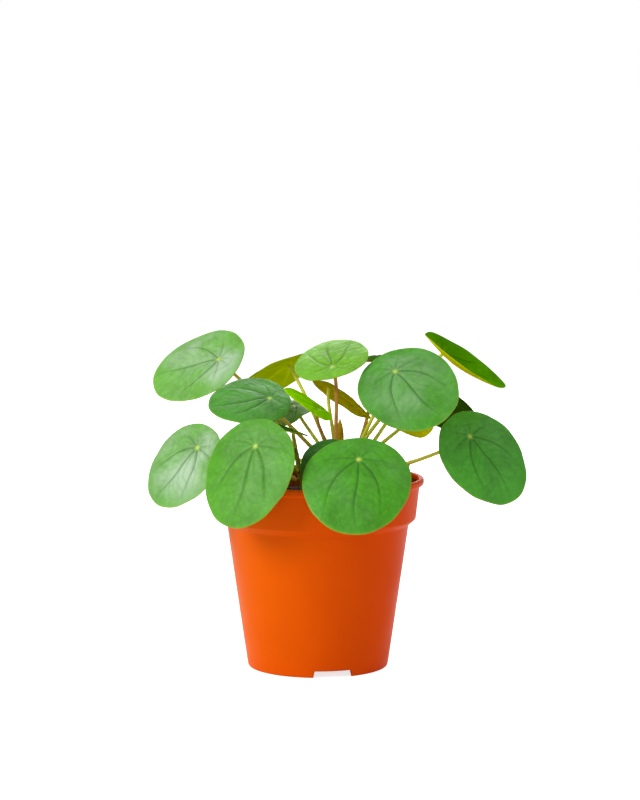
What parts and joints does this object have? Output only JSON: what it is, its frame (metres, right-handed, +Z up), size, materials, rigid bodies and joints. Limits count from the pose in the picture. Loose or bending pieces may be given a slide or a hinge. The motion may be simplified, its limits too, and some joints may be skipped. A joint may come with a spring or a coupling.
{
  "type": "potted pilea plant",
  "caption": "Bushy house plant with round, flat leaves on long thin stalks, growing from soil in a tapered plastic nursery pot with a wide rim band.",
  "frame": {"origin": "centre of the pot's underside, where it stands", "axes": "+Z up out of the pot's mouth, +X towards the side where the crown reaches furthest, -Y towards the two lowest front leaves"},
  "size_m": [0.2149, 0.1715, 0.188],
  "materials": {
    "pot_plastic": "satin terracotta-orange moulded plastic",
    "soil": "dark crumbly peat potting mix",
    "stem": "olive-brown stem with leaf scars",
    "leaf": "smooth, slightly glossy green leaf with sunken veins",
    "young_leaf": "smooth light green young leaf",
    "stalk": "smooth yellow-green stalk, some flushed orange-brown",
    "sheath": "thin olive-orange leaf sheath",
    "dry_plant": "dry grey-pink stalk stub"
  },
  "bodies": {
    "root": {"pot": "pot_plastic", "soil": "soil", "main_stem": "stem", "side_stem": "stem", "blade_upper_left": "leaf", "stalk_upper_left": "stalk", "blade_left_glossy": "leaf", "stalk_left_glossy": "stalk", "blade_lower_left": "leaf", "stalk_lower_left": "stalk", "blade_front_left": "leaf", "stalk_front_left": "stalk", "blade_front_centre": "leaf", "stalk_front_centre": "stalk", "blade_right": "leaf", "stalk_right": "stalk", "blade_right_centre": "leaf", "stalk_right_centre": "stalk", "blade_top_right": "leaf", "stalk_top_right": "stalk", "blade_top_centre": "leaf", "stalk_top_centre": "stalk", "blade_back_left": "leaf", "stalk_back_left": "stalk", "blade_young_centre": "young_leaf", "stalk_young_centre": "stalk", "blade_behind_glossy": "leaf", "stalk_behind_glossy": "stalk", "blade_edge_on": "leaf", "stalk_edge_on": "stalk", "blade_under_centre": "leaf", "stalk_under_centre": "stalk", "blade_far_centre": "leaf", "stalk_far_centre": "stalk", "blade_far_right": "leaf", "stalk_far_right": "stalk", "blade_under_right": "leaf", "stalk_under_right": "stalk", "blade_small_front": "young_leaf", "stalk_small_front": "stalk", "blade_low_back_left": "leaf", "stalk_low_back_left": "stalk", "blade_low_back": "leaf", "stalk_low_back": "stalk", "blade_low_back_right": "leaf", "stalk_low_back_right": "stalk", "leaf_sheath": "sheath", "dry_stub": "dry_plant"}
  },
  "joints": []
}
